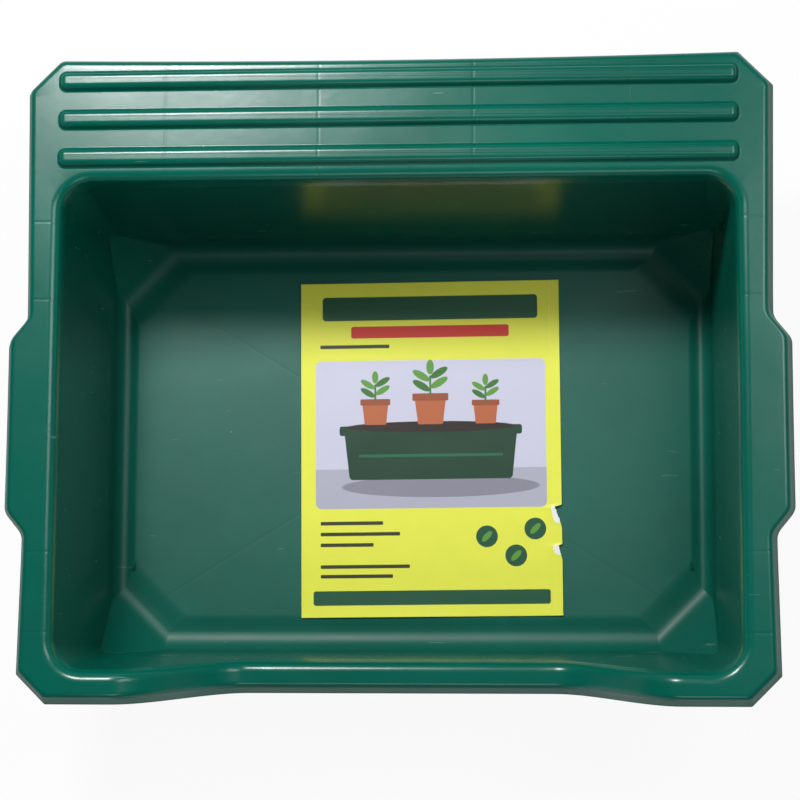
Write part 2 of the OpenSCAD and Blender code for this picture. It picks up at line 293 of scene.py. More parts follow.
def rim_loop(s, z, out):
    """A loop on the flange, out by a distance from the basin's rim."""
    ease = s.rim_corner + out
    return {"wide": s.body_w / 2 - s.side_flange + out, "back": s.body_d / 2 - s.shelf_d + out,
            "front": s.body_d / 2 - s.front_flange + out, "front_leg": ease * ROUND_LEG,
            "back_leg": ease * ROUND_LEG, "round": ease,
            "tab": 0.0, "bow": 0.0, "z": z, "dip": 1.0}


def edge_loop(s, z, out, ease):
    """A loop on the flange's outer edge, out by a distance from its top edge."""
    inset = s.skirt_flare - out
    grow = out * ROUND_LEG
    return {"wide": s.body_w / 2 - inset, "back": s.body_d / 2 - inset, "front": s.body_d / 2 - inset,
            "front_leg": s.front_cut + grow, "back_leg": s.back_cut + grow, "round": ease,
            "tab": s.tab_out, "bow": s.edge_bow, "z": z, "dip": 1.0}


# The share of the soft panel step that lies on the panel's side of the foot band's edge.
STEP_PLACE = 0.62


def moulding_loops(s):
    """Every loop of the moulding: from the floor panel over the rim and the skirt to the underside."""
    top = s.overall_h - s.bar_h
    under = top - s.wall
    floor = s.wall
    loops = []
    for k in range(13):
        t = k / 12
        place = s.foot_band + s.panel_ease * (STEP_PLACE - t)
        loops.append(floor_loop(s, floor + s.panel_rise * (1 - smooth(t)), place))
    loops.append(floor_loop(s, floor, s.floor_r + 0.0012))
    for k in range(9):
        a = math.radians(90) * k / 8
        z = floor + s.floor_r * (1 - math.cos(a))
        loops.append(wall_loop(s, z, -s.floor_r * (1 - math.sin(a))))
    loops += [wall_loop(s, z, 0.0) for z in spread(floor + s.floor_r, s.facet_h, 7)]
    loops += [wall_loop(s, z, 0.0) for z in spread(s.facet_h, top - s.rim_r, 12)]
    for k in range(1, 10):
        a = math.radians(90) * k / 9
        loops.append(rim_loop(s, top - s.rim_r * (1 - math.sin(a)), s.rim_r * (1 - math.cos(a))))
    loops.append(rim_loop(s, top, s.rim_r + s.support))
    loops.append(edge_loop(s, top, -s.edge_r - s.support, s.top_ease))
    turn = math.atan2(s.skirt_h - s.edge_r, s.skirt_flare)
    for k in range(8):
        a = turn * k / 7
        loops.append(edge_loop(s, top - s.edge_r * (1 - math.cos(a)), -s.edge_r * (1 - math.sin(a)),
                               mix(s.top_ease, s.low_ease, 0.3 * k / 7)))
    foot = top - s.skirt_h
    for t in (0.3, 0.62, 0.92):
        ease = mix(s.top_ease, s.low_ease, t)
        loops.append(edge_loop(s, mix(top - s.edge_r, foot, t), s.skirt_flare * t, ease))
    for k in range(5):
        a = math.radians(180) * k / 4
        r = s.wall / 2
        loops.append(edge_loop(s, foot + s.skirt_lip * (1 - math.sin(a)),
                               s.skirt_flare - r + r * math.cos(a), s.low_ease))
    loops.append(edge_loop(s, mix(foot, under, 0.5), mix(s.skirt_flare, 0.0, 0.5) - s.wall, s.low_ease))
    loops.append(edge_loop(s, under - 0.001, -s.wall + 0.0004, s.low_ease))
    loops.append(edge_loop(s, under, -s.wall - 0.0008, s.low_ease))
    loops.append(rim_loop(s, under, s.rim_r + s.support))
    for k in range(6):
        a = math.radians(90) * k / 5
        r = s.rim_r - s.wall
        loops.append(rim_loop(s, under - r * (1 - math.cos(a)), s.wall + r * (1 - math.sin(a))))
    loops += [wall_loop(s, z, s.wall, None, s.wall)
              for z in reversed(spread(s.facet_h, top - s.rim_r, 8)[:-1])]
    loops += [wall_loop(s, z, s.wall, None, s.wall)
              for z in reversed([floor + s.floor_r] + spread(floor + s.floor_r, s.facet_h, 5))]
    for k in range(7, -1, -1):
        a = math.radians(90) * k / 8
        r = s.floor_r + s.wall
        loops.append(wall_loop(s, r * (1 - math.cos(a)), s.wall - r * (1 - math.sin(a)), None, s.wall))
    loops.append(floor_loop(s, 0.0, s.foot_band + s.wall))
    loops.append(floor_loop(s, s.panel_rise, s.foot_band + s.wall + s.panel_rise))
    return loops


# Two heights closer than this count as one, in metres.
LEVEL = 1e-6


def deselect():
    """Leaves nothing selected, so that an operator reaches only what it is meant to."""
    if bpy.context.object and bpy.context.object.mode != "OBJECT":
        bpy.ops.object.mode_set(mode="OBJECT")
    bpy.ops.object.select_all(action="DESELECT")


def pick_faces(obj, test):
    """Selects the faces of the edited mesh that pass a test, and returns how many there are."""
    mesh = bmesh.from_edit_mesh(obj.data)
    bpy.ops.mesh.select_mode(type="FACE")
    bpy.ops.mesh.select_all(action="DESELECT")
    picked = [f for f in mesh.faces if test(f)]
    for f in picked:
        f.select_set(True)
    bmesh.update_edit_mesh(obj.data)
    return len(picked)


def pick_edges(obj, test):
    """Selects the edges of the edited mesh that pass a test, and returns how many there are."""
    mesh = bmesh.from_edit_mesh(obj.data)
    bpy.ops.mesh.select_mode(type="EDGE")
    bpy.ops.mesh.select_all(action="DESELECT")
    picked = [e for e in mesh.edges if test(e)]
    for e in picked:
        e.select_set(True)
    bmesh.update_edit_mesh(obj.data)
    return len(picked)


def draw_shell(s, name):
    """Extrudes one loop of vertices through every place in moulding_loops, and closes both ends."""
    deselect()
    row = stations(s)
    loops = [loop_points(s, row, loop) for loop in moulding_loops(s)]
    count = len(loops[0])
    bpy.ops.mesh.primitive_circle_add(vertices=count, radius=s.body_w / 2, fill_type="NOTHING")
    obj = bpy.context.object
    obj.name = name
    bpy.ops.object.mode_set(mode="EDIT")
    mesh = bmesh.from_edit_mesh(obj.data)
    order = mesh.verts.layers.int.new("order")
    mesh.verts.ensure_lookup_table()
    for i, v in enumerate(mesh.verts):
        v[order] = i
        v.co = loops[0][i]
    bmesh.update_edit_mesh(obj.data)
    bpy.ops.mesh.select_mode(type="EDGE")
    bpy.ops.mesh.select_all(action="SELECT")
    bpy.ops.mesh.edge_face_add()
    pick_edges(obj, lambda e: True)
    for loop in loops[1:]:
        bpy.ops.mesh.extrude_edges_move()
        mesh = bmesh.from_edit_mesh(obj.data)
        order = mesh.verts.layers.int["order"]
        for v in mesh.verts:
            if v.select:
                v.co = loop[v[order]]
        bmesh.update_edit_mesh(obj.data)
    bpy.ops.mesh.edge_face_add()
    bpy.ops.mesh.select_all(action="SELECT")
    bpy.ops.mesh.normals_make_consistent(inside=False)
    bpy.ops.object.mode_set(mode="OBJECT")
    return obj


def bar_places(s):
    """The middles of the bars, from the back edge inward."""
    return [s.body_d / 2 - s.bar_inset - k * s.bar_pitch for k in range(s.bar_count)]


def form_block(obj, block):
    """Cuts a rounded footprint into a level face, then raises it or sinks it with slanted sides."""
    level, middle, half_l, half_w = block["level"], block["middle"], block["half_l"], block["half_w"]
    margin, corner_r = block["margin"], block["corner_r"]

    def footprint(f):
        c = f.calc_center_bounds()
        return abs(c.z - level) < LEVEL and abs(c.x) < 0.01 and abs(c.y - middle) < 0.002 and \
            abs(f.normal.z) > 0.99

    for k in range(1, 6):
        a = math.radians(15 * k)
        reach = Vector((math.cos(a), math.sin(a)))
        for sx in (-1, 1):
            for sy in (-1, 1):
                centre = Vector((sx * (half_l - corner_r), middle + sy * (half_w - corner_r)))
                normal = Vector((sx * reach.x, sy * reach.y))
                place = centre + normal * (corner_r + margin)
                pick_faces(obj, lambda f: footprint(f))
                bpy.ops.mesh.bisect(plane_co=(place.x, place.y, 0), plane_no=(normal.x, normal.y, 0))
    pick_faces(obj, footprint)
    if margin:
        bpy.ops.mesh.inset(thickness=margin)
    bpy.ops.mesh.inset(thickness=block["slant"], depth=block["depth"])


def near_bar(s, v, middle):
    """Whether a vertex belongs to the bar with this middle."""
    return abs(v.co.y - middle) < s.bar_pitch / 2 and abs(v.co.x) < s.bar_len / 2 + 0.002


# The ring round a bar's foot that its small fillet takes, in metres.
BAR_MARGIN = 0.0009


def form_bars(s, obj):
    """Raises the bars on the shelf, rounds their edges, and sinks the hollows beneath them."""
    top = s.overall_h - s.bar_h
    under = top - s.wall
    bpy.context.view_layer.objects.active = obj
    bpy.ops.object.mode_set(mode="EDIT")
    half_l, half_w = s.bar_len / 2, s.bar_w / 2
    for level, shrink, margin in ((top, 0.0, BAR_MARGIN), (under, s.wall, 0.0)):

        def shelf(f):
            c = f.calc_center_median()
            return abs(c.z - level) < LEVEL and abs(f.normal.z) > 0.99 and c.y > s.body_d / 2 - s.shelf_d - 0.01

        pick_faces(obj, shelf)
        bpy.ops.mesh.dissolve_faces()
        planes = [((x, 0, 0), (1, 0, 0)) for x in (-half_l + shrink - margin, half_l - shrink + margin)]
        for middle in bar_places(s):
            planes += [((0, middle + d, 0), (0, 1, 0))
                       for d in (-half_w + shrink - margin, half_w - shrink + margin)]
        for place, normal in planes:
            pick_faces(obj, shelf)
            bpy.ops.mesh.bisect(plane_co=place, plane_no=normal)
    for middle in bar_places(s):
        form_block(obj, {"level": top, "middle": middle, "half_l": half_l, "half_w": half_w,
                            "margin": BAR_MARGIN, "corner_r": s.bar_corner,
                            "slant": s.bar_slant, "depth": s.bar_h})
        pick_edges(obj, lambda e: all(abs(v.co.z - top - s.bar_h) < LEVEL and near_bar(s, v, middle)
                                      for v in e.verts))
        bpy.ops.mesh.bevel(offset=s.bar_crest, segments=6, affect="EDGES")
        pick_faces(obj, lambda f: f.normal.z > 0.99 and abs(f.calc_center_bounds().z - top - s.bar_h) < LEVEL
                   and abs(f.calc_center_bounds().y - middle) < 0.002 and abs(f.calc_center_bounds().x) < 0.01)
        bpy.ops.mesh.inset(thickness=0.0006)
        pick_edges(obj, lambda e: all(abs(v.co.z - top) < LEVEL and near_bar(s, v, middle) for v in e.verts) and
                   any(abs(f.normal.z) < 0.9 for f in e.link_faces))
        bpy.ops.mesh.bevel(offset=0.0008, segments=3, affect="EDGES")
        form_block(obj, {"level": under, "middle": middle, "half_l": half_l - s.wall,
                            "half_w": half_w - s.wall, "margin": 0.0, "corner_r": 0.002,
                            "slant": 0.0012, "depth": -s.bar_h})
    bpy.ops.object.mode_set(mode="OBJECT")


def add_plate(name, profile, thickness, place, turn):
    """A flat rib: a filled outline in the x-z plane, extruded to its thickness, with softened edges."""
    deselect()
    bpy.ops.mesh.primitive_circle_add(vertices=len(profile), radius=0.01, fill_type="NGON")
    obj = bpy.context.object
    obj.name = name
    bpy.ops.object.mode_set(mode="EDIT")
    mesh = bmesh.from_edit_mesh(obj.data)
    mesh.verts.ensure_lookup_table()
    for v, (along, z) in zip(mesh.verts, profile):
        v.co = Vector((along, -thickness / 2, z))
    bmesh.update_edit_mesh(obj.data)
    bpy.ops.mesh.select_all(action="SELECT")
    bpy.ops.mesh.extrude_region_move(TRANSFORM_OT_translate={"value": (0, thickness, 0)})
    bpy.ops.mesh.select_all(action="SELECT")
    bpy.ops.mesh.normals_make_consistent(inside=False)
    bpy.ops.mesh.bevel(offset=0.0003, segments=2, affect="EDGES")
    bpy.ops.object.mode_set(mode="OBJECT")
    obj.location = place
    obj.rotation_euler = (0, 0, turn)
    deselect()
    obj.select_set(True)
    bpy.context.view_layer.objects.active = obj
    bpy.ops.object.transform_apply(location=True, rotation=True, scale=True)
    return obj


def gusset_profile(s, reach, lean):
    """Outline of a rib that hangs under the flange, from the basin's wall to the skirt."""
    under = s.overall_h - s.bar_h - s.wall
    skirt_reach = s.skirt_flare * s.rib_h / (s.skirt_h - s.wall)
    root = under + s.wall / 2
    return [(s.rim_r * 0.6, root), (reach + s.wall / 2 - s.edge_r * 0.9, root),
            (reach - s.rib_t * 0.1, under + s.wall - s.edge_r * 0.8), (reach + skirt_reach, under - s.rib_h),
            (-lean, under - s.rib_h), (0.0, under - s.rim_r)]


def panel_cross(s):
    """The crossed ribs under the floor panel: their half length, their tilt and the place of their middle."""
    inset = s.foot_band + s.facet_leg / 2
    half_x = s.body_w / 2 - s.side_flange - s.side_lean - inset
    back = s.body_d / 2 - s.shelf_d - s.back_lean - inset
    front = s.body_d / 2 - s.front_flange - s.front_lean - inset
    half_y = (back + front) / 2
    return math.hypot(half_x, half_y), math.atan2(half_y, half_x), (back - front) / 2


def add_ribs(s):
    """The ribs under the shelf and the side flanges, in the hollows of the bars and under the floor panel."""
    top = s.overall_h - s.bar_h
    under = top - s.wall
    drop = top - s.wall
    edge_x, edge_y = s.body_w / 2 - s.skirt_flare, s.body_d / 2 - s.skirt_flare
    wall_x = s.body_w / 2 - s.side_flange + s.wall / 2
    wall_y = s.body_d / 2 - s.shelf_d + s.wall / 2
    plates = []
    for k in (-1.5, -0.5, 0.5, 1.5):
        x = k * s.shelf_rib_pitch
        bow = s.edge_bow * (1 - (x / (edge_x - s.back_cut)) ** 2)
        profile = gusset_profile(s, edge_y - bow - s.wall / 2 - wall_y, s.back_lean * s.rib_h / drop)
        plates.append(add_plate("rib", profile, s.rib_t * 0.9, (x, wall_y, 0), math.radians(90)))
        half = s.bar_w / 2 - s.wall
        for y in bar_places(s):
            tooth = [(-half, under - 0.001), (half, under - 0.001), (half - 0.001, top + s.bar_h - 0.0015),
                     (0.001 - half, top + s.bar_h - 0.0015)]
            plates.append(add_plate("tooth", tooth, s.rib_t * 0.8, (x, y, 0), math.radians(90)))
    for side in (-1, 1):
        for d in (-s.side_rib_far, -s.side_rib_near, s.side_rib_near, s.side_rib_far):
            y = s.tab_y + d
            bow = s.edge_bow * (1 - (y / edge_y) ** 2)
            profile = gusset_profile(s, edge_x - bow - s.wall / 2 - wall_x, s.side_lean * s.rib_h / drop)
            plates.append(add_plate("rib", profile, s.rib_t * 0.9, (side * wall_x, y, 0),
                                    0.0 if side > 0 else math.radians(180)))
    half, tilt, middle = panel_cross(s)
    for turn, clear in ((tilt, 0.0005), (-tilt, 0.0004)):
        profile = [(-half, clear), (half, clear), (half, s.panel_rise + 0.001), (-half, s.panel_rise + 0.001)]
        plates.append(add_plate("rib", profile, s.rib_t, (0, middle, 0), turn))
    return plates


def join(main, others):
    """Joins other objects into the main one."""
    deselect()
    for obj in others:
        obj.select_set(True)
    main.select_set(True)
    bpy.context.view_layer.objects.active = main
    bpy.ops.object.join()
    return main


class SheetShape(PropertyGroup):
    """Sizes and print colours of the loose sheet."""

    sheet_w: length("Width", 0.216, "Width of the sheet")
    sheet_l: length("Length", 0.2795, "Length of the sheet")
    paper_t: length("Thickness", 0.0004, "Thickness of the card")
    sheet_x: length("Sideways place", 0.016, "Sideways place of the sheet's middle")
    sheet_y: length("Place along the tray", -0.037, "Place of the sheet's middle, from front to back")
    turn: FloatProperty(name="Turn", default=math.radians(0.6), subtype="ANGLE", unit="ROTATION",
                        description="Turn of the sheet on the floor")
    tear: length("Tear", 0.006, "Depth of the torn notches in the right edge")
    curl: length("Curl", 0.0009, "How far the edges of the sheet lift")
    ground: colour("Ground", (0.80, 0.83, 0.075), "Colour of the printed ground")
    leaf: colour("Green print", (0.010, 0.085, 0.040), "Green of the heading bar and the leaves")
    accent: colour("Red print", (0.56, 0.028, 0.018), "Red of the second bar")
    ink: colour("Dark print", (0.035, 0.04, 0.02), "Dark ink of the fine lines")
    pale: colour("Pale print", (0.58, 0.58, 0.72), "Pale ground of the picture")


# Each tear: where it starts along the sheet, how far it runs, and its share of the full depth.
TEARS = ((-0.179, 0.066, 1.0), (-0.294, 0.046, 0.55))
# How far across the sheet the tears begin to draw the grid in, where its edge is at 0.5.
TEAR_INNER = 0.40


def tear_depth(s, v):
    """How far the right edge is torn in at a place along the sheet, which runs from -0.5 to 0.5.

    Each tear starts with a short step and runs out slowly towards the front.
    """
    depth = 0.0
    for k, (start, run, share) in enumerate(TEARS):
        t = (start - v) / run
        if -0.08 < t < 1:
            step = smooth((t + 0.08) / 0.12)
            ragged = 0.05 * math.sin(31 * t + k) + 0.04 * math.sin(67 * t + 2 * k)
            depth = max(depth, s.tear * share * step * ((1 - max(0.0, t)) ** 1.3 + ragged * (1 - t)))
    return depth


def draw_sheet(s, name):
    """A fine grid, torn and gently curled, with a flat UV map in metres from its middle."""
    deselect()
    bpy.ops.mesh.primitive_grid_add(x_subdivisions=90, y_subdivisions=200, size=1.0)
    obj = bpy.context.object
    obj.name = name
    bpy.ops.object.mode_set(mode="EDIT")
    mesh = bmesh.from_edit_mesh(obj.data)
    torn = mesh.verts.layers.float.new("torn")
    flat = {}
    cos_t, sin_t = math.cos(s.turn), math.sin(s.turn)
    for v in mesh.verts:
        u, w = v.co.x, v.co.y
        bite = tear_depth(s, w) if u > 0 else 0.0
        near = max(0.0, (u - TEAR_INNER) / (0.5 - TEAR_INNER))
        x = u * s.sheet_w - bite * near * near
        y = w * s.sheet_l
        v[torn] = smooth((near - 0.55) / 0.35) * min(1.0, bite / (0.35 * s.tear))
        flat[v.index] = (x, y)
        edge = max(abs(2 * u) ** 8, abs(2 * w) ** 10)
        wave = 0.5 + 0.5 * math.sin(7.0 * u + 3.5 * w + 1.0) * math.cos(5.0 * w - 2.0 * u)
        side = max(0.0, 2 * u) ** 6
        lift = s.curl * (edge * wave + 0.8 * side) + bite * near ** 3 * 0.3
        v.co = Vector((s.sheet_x + x * cos_t - y * sin_t, s.sheet_y + x * sin_t + y * cos_t,
                       SHEET_LOW.z + 0.00005 + lift))
    uv = mesh.loops.layers.uv.verify()
    for face in mesh.faces:
        for corner in face.loops:
            corner[uv].uv = flat[corner.vert.index]
    bmesh.update_edit_mesh(obj.data)
    bpy.ops.object.mode_set(mode="OBJECT")
    solid = obj.modifiers.new("card", "SOLIDIFY")
    solid.thickness = s.paper_t
    solid.offset = 1.0
    bpy.ops.object.modifier_apply(modifier=solid.name)
    bpy.ops.object.shade_smooth_by_angle(angle=math.radians(40))
    return obj


class Nodes:
    """Builds a node tree, one call for each node."""

    def __init__(self, tree):
        self.tree = tree

    def add(self, kind, inputs=None, **settings):
        """A node of this kind, with its settings and with values or links on its inputs."""
        node = self.tree.nodes.new(kind)
        for key, value in settings.items():
            setattr(node, key, value)
        for key, value in (inputs or {}).items():
            self.feed(node.inputs[key], value)
        return node

    def feed(self, socket, value):
        """Sets a socket to a value, or links it to another socket."""
        if isinstance(value, bpy.types.NodeSocket):
            self.tree.links.new(value, socket)
        else:
            socket.default_value = value

    def math(self, operation, a, b=0.0, clamp=False):
        """The result of a sum on one or two numbers."""
        node = self.add("ShaderNodeMath", {0: a, 1: b}, operation=operation, use_clamp=clamp)
        return node.outputs[0]

    def times(self, a, b):
        """The product of two numbers."""
        return self.math("MULTIPLY", a, b)

    def plus(self, a, b, clamp=False):
        """The sum of two numbers."""
        return self.math("ADD", a, b, clamp)

    def minus(self, a, b):
        """The first number less the second."""
        return self.math("SUBTRACT", a, b)

    def most(self, a, b):
        """The larger of two numbers."""
        return self.math("MAXIMUM", a, b)

    def size(self, a):
        """A number without its sign."""
        return self.math("ABSOLUTE", a)

    def ramp(self, value, low, high, out_low=0.0, out_high=1.0):
        """A smooth step of a number, from one range to another."""
        node = self.add("ShaderNodeMapRange", {"Value": value, "From Min": low, "From Max": high,
                                               "To Min": out_low, "To Max": out_high},
                        interpolation_type="SMOOTHSTEP")
        return node.outputs["Result"]

    def noise(self, place, scale, detail=2.0, roughness=0.5):
        """A cloudy number from 0 to 1, with this many features to the metre."""
        node = self.add("ShaderNodeTexNoise", {"Vector": place, "Scale": scale, "Detail": detail,
                                               "Roughness": roughness})
        return node.outputs["Fac"]

    def blend(self, share, first, second, blend_type="MIX"):
        """One colour over another."""
        node = self.add("ShaderNodeMix", data_type="RGBA", blend_type=blend_type)
        for socket, value in zip([node.inputs[k] for k in (0, 6, 7)], (share, first, second)):
            self.feed(socket, value)
        return node.outputs[2]

    def split(self, vector):
        """The three numbers of a vector."""
        node = self.add("ShaderNodeSeparateXYZ", {0: vector})
        return node.outputs[0], node.outputs[1], node.outputs[2]

    def stretched(self, place, scale, turn=0.0):
        """A place scaled along each axis, after a turn about Z."""
        node = self.add("ShaderNodeMapping", {"Vector": place, "Scale": scale, "Rotation": (0, 0, turn)})
        return node.outputs[0]


class Surface(Nodes):
    """A new material: its node tree, its shader and its output."""

    def __init__(self, name):
        self.material = bpy.data.materials.new(name)
        self.material.use_nodes = True
        super().__init__(self.material.node_tree)
        self.tree.nodes.clear()
        self.shader = self.add("ShaderNodeBsdfPrincipled")
        self.output = self.add("ShaderNodeOutputMaterial")
        self.tree.links.new(self.shader.outputs["BSDF"], self.output.inputs["Surface"])


def opaque(rgb):
    """A colour with full alpha."""
    return (*rgb, 1.0)


class PlasticLook(PropertyGroup):
    """Finish of the moulding."""

    deep: colour("Deep green", (0.0, 0.092, 0.064), "Colour of the plastic where it is darkest")
    light: colour("Light green", (0.0, 0.110, 0.077), "Colour of the plastic where it is lightest")
    speck: colour("Speck", (0.35, 0.46, 0.42), "Colour of the few pale specks and scratches")
    rough_wall: share("Roughness", 0.25, "Roughness of the walls and flanges")
    rough_floor: share("Floor roughness", 0.47, "Roughness of the grained floor")


def shaded(rgb, share):
    """A colour made darker or lighter."""
    return tuple(share * v for v in rgb)


def sink_and_shade_lines(n, s, x, y, z):
    """Where the ribs behind show through as shallow dips: faint lines on the shelf, the side flanges and the
    floor panel, also used for painted shade along them.
    """
    top = s.overall_h - s.bar_h - 0.01
    away_x, away_tab = n.size(x), n.size(n.minus(y, s.tab_y))
    high = n.ramp(z, top, top + 0.006)
    pitch = s.shelf_rib_pitch
    across = n.math("MINIMUM", n.size(n.minus(away_x, pitch / 2)),
                    n.size(n.minus(away_x, pitch * 1.5)))
    along = n.math("MINIMUM", n.size(n.minus(away_tab, s.side_rib_near)),
                   n.size(n.minus(away_tab, s.side_rib_far)))
    shelf = n.ramp(y, s.body_d / 2 - s.shelf_d, s.body_d / 2 - s.shelf_d + 0.004)
    side = n.ramp(away_x, s.body_w / 2 - s.side_flange, s.body_w / 2 - s.side_flange + 0.004)
    lines = n.times(n.ramp(across, 0.0, 0.0018, 1.0, 0.0), shelf)
    lines = n.most(lines, n.times(n.ramp(along, 0.0, 0.0018, 1.0, 0.0), side))
    lines = n.times(lines, high)
    _, tilt, middle = panel_cross(s)
    down = n.times(n.minus(y, middle), math.cos(tilt))
    over = n.times(x, math.sin(tilt))
    cross = n.math("MINIMUM", n.size(n.minus(down, over)),
                   n.size(n.plus(down, over)))
    panel = n.times(n.ramp(cross, 0.0, 0.0022, 1.0, 0.0), n.ramp(z, 0.004, 0.012, 1.0, 0.0))
    return n.most(lines, n.times(panel, 0.7))


def outside_mask(n, s, x, y, z):
    """The outer faces of the walls and the skirt, which are a little duller than the inside."""
    facing_x, facing_y, _ = n.split(n.add("ShaderNodeNewGeometry").outputs["Normal"])
    away = n.plus(n.times(x, facing_x), n.times(y, facing_y))
    top = s.overall_h - s.bar_h
    return n.times(n.ramp(away, 0.08, 0.18), n.ramp(z, top - 0.005, top - 0.001, 1.0, 0.0))


# Each set of faint scratches: turn, features to the metre along each axis, and how rare it is.
SCUFFS = ((0.5, (14, 240, 40), 0.735), (-0.9, (10, 180, 40), 0.745), (1.4, (16, 300, 40), 0.74))
# Grain, peel and sag: features to the metre, detail, roughness and depth in metres.
RELIEF = ((900.0, 2.0, 0.6, 0.000010), (120.0, 2.0, 0.5, 0.000045), (16.0, 1.0, 0.5, 0.00035))
SINK_DEPTH = 0.00006
SHEEN, OUTSIDE_SHEEN = 0.40, 0.14


def plastic_material(look, s):
    """Satin green plastic: a fine moulded grain, sink marks over the ribs with painted shade along them, faint
    scuffs and pale specks.
    """
    n = Surface("green_moulded_plastic")
    place = n.add("ShaderNodeTexCoord").outputs["Object"]
    x, y, z = n.split(place)
    cloud = n.ramp(n.noise(place, 7.0, 4.0, 0.6), 0.3, 0.7)
    base = n.blend(cloud, opaque(look.deep), opaque(look.light))
    sink_lines_and_shade = sink_and_shade_lines(n, s, x, y, z)
    # Painted shade: the base colour is darkened a little along the sink lines, standing in for the shade in
    # their dips.
    base = n.blend(n.times(sink_lines_and_shade, 0.08), base, opaque((0.0, 0.03, 0.022)))
    cell = n.add("ShaderNodeTexVoronoi", {"Vector": place, "Scale": 34.0, "Randomness": 1.0})
    chance = n.split(cell.outputs["Color"])
    speck = n.times(n.math("LESS_THAN", cell.outputs["Distance"], 0.020),
                   n.math("GREATER_THAN", chance[0], 0.72))
    scuff = 0.0
    for turn, scale, low in SCUFFS:
        streak = n.ramp(n.noise(n.stretched(place, scale, turn), 1.0, 3.0, 0.55), low, low + 0.02)
        scuff = n.most(scuff, streak)
    pale = n.plus(n.times(speck, 0.55), n.times(scuff, 0.22), clamp=True)
    base = n.blend(pale, base, opaque(look.speck))
    n.feed(n.shader.inputs["Base Color"], base)
    satin = n.ramp(z, 0.008, 0.042, look.rough_floor, look.rough_wall)
    satin = n.plus(satin, n.times(n.minus(n.noise(place, 22.0, 3.0), 0.5), 0.10))
    satin = n.plus(satin, n.times(scuff, 0.10))
    outside = outside_mask(n, s, x, y, z)
    satin = n.plus(satin, n.times(outside, 0.25), clamp=True)
    n.feed(n.shader.inputs["Roughness"], satin)
    height = n.times(sink_lines_and_shade, -SINK_DEPTH)
    for scale, detail, roughness, depth in RELIEF:
        height = n.plus(height, n.times(n.noise(place, scale, detail, roughness), depth))
    bump = n.add("ShaderNodeBump", {"Height": height, "Strength": 1.0, "Distance": 1.0})
    n.feed(n.shader.inputs["Normal"], bump.outputs["Normal"])
    n.feed(n.shader.inputs["Specular IOR Level"], n.ramp(outside, 0.0, 1.0, SHEEN, OUTSIDE_SHEEN))
    return n.material


def dress_node(name, material):
    """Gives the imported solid, which its dressed piece hides, the same material."""
    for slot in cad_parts[name].material_slots:
        slot.material = material


class TRAY_OT_moulding(Operator):
    """Model the one-piece moulding: basin, rim, shelf, flanges, grip tabs and skirt"""

    bl_idname = "tray.moulding"
    bl_label = "Moulding"

    def execute(self, context):
        s = context.scene.tray_shape
        tray = draw_shell(s, "tray_shell")
        form_bars(s, tray)
        join(tray, add_ribs(s))
        bpy.ops.object.shade_smooth_by_angle(angle=math.radians(35))
        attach(tray, "tray")
        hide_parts("tray_moulding")
        plastic = plastic_material(context.scene.tray_plastic, s)
        tray.data.materials.clear()
        tray.data.materials.append(plastic)
        dress_node("tray_moulding", plastic)
        return {"FINISHED"}


# The print, in millimetres from the sheet's middle: shape, middle, half sizes, radius or turn, taper, ink.
# A taper narrows a shape towards its lower edge, in shares of its width for each millimetre.
PRINT = [
    ("box", (0, 12), (96, 62), 5, 0, "pale"),
    ("box", (0, -34), (96, 16), 5, 0, "bench"),
    ("box", (0, -24), (96, 7), 0.5, 0, "bench"),
    ("oval", (8, -32), (82, 9), 0, 0, "shade"),
    ("box", (0, -6), (72, 20), 3, 0.0016, "trough"),
    ("box", (0, 15), (76, 4), 2, 0, "trough"),
    ("oval", (0, 18), (70, 4.5), 0, 0, "soil"),
    ("box", (0, -6), (60, 1.2), 1, 0, "rim"),
    ("box", (0, 118), (90, 10), 3, 0, "leaf"),
    ("box", (0, 98), (66, 5), 2, 0, "accent"),
    ("box", (0, -124), (98, 6), 2, 0, "leaf"),
]
POTS = [(-46, 1.0), (0, 1.2), (46, 0.92)]
LINES = [(-92, 86, 58), (-92, -62, 52), (-92, -71, 66), (-92, -80, 44), (-92, -98, 74), (-92, -106, 60)]
BADGES = [(46, -74), (70, -90), (86, -68)]


def shape_group(kind):
    """A node group that is 1 inside a box with rounded corners, or inside an oval, and 0 outside."""
    group = bpy.data.node_groups.new("print_" + kind, "ShaderNodeTree")
    face = group.interface
    for form, names in (("Vector", ("Place", "Middle", "Half")), ("Float", ("Round", "Taper"))):
        for name in names:
            face.new_socket(name=name, in_out="INPUT", socket_type="NodeSocket" + form)
    face.new_socket(name="Mask", in_out="OUTPUT", socket_type="NodeSocketFloat")
    n = Nodes(group)
    put = n.add("NodeGroupInput").outputs
    away = n.add("ShaderNodeVectorMath", {0: put["Place"], 1: put["Middle"]}, operation="SUBTRACT").outputs[0]
    half_x, half_y, _ = n.split(put["Half"])
    if kind == "box":
        x, y, _ = n.split(away)
        lower = n.minus(half_y, y)
        narrowed = n.plus(1.0, n.times(lower, put["Taper"]))
        x = n.size(n.times(x, narrowed))
        over_x = n.plus(n.minus(x, half_x), put["Round"])
        over_y = n.plus(n.minus(n.size(y), half_y), put["Round"])
        out_x, out_y = n.most(over_x, 0.0), n.most(over_y, 0.0)
        far = n.math("SQRT", n.plus(n.times(out_x, out_x), n.times(out_y, out_y)))
        inner = n.math("MINIMUM", n.most(over_x, over_y), 0.0)
        gap = n.minus(n.plus(far, inner), put["Round"])
    else:
        turned = n.add("ShaderNodeVectorRotate", {"Vector": away, "Angle": put["Round"]},
                       rotation_type="Z_AXIS").outputs[0]
        x, y, _ = n.split(turned)
        x, y = n.math("DIVIDE", x, half_x), n.math("DIVIDE", y, half_y)
        far = n.math("SQRT", n.plus(n.times(x, x), n.times(y, y)))
        gap = n.times(n.minus(far, 1.0), n.math("MINIMUM", half_x, half_y))
    out = n.add("NodeGroupOutput")
    n.tree.links.new(n.ramp(gap, -0.2, 0.2, 1.0, 0.0), out.inputs["Mask"])
    return group


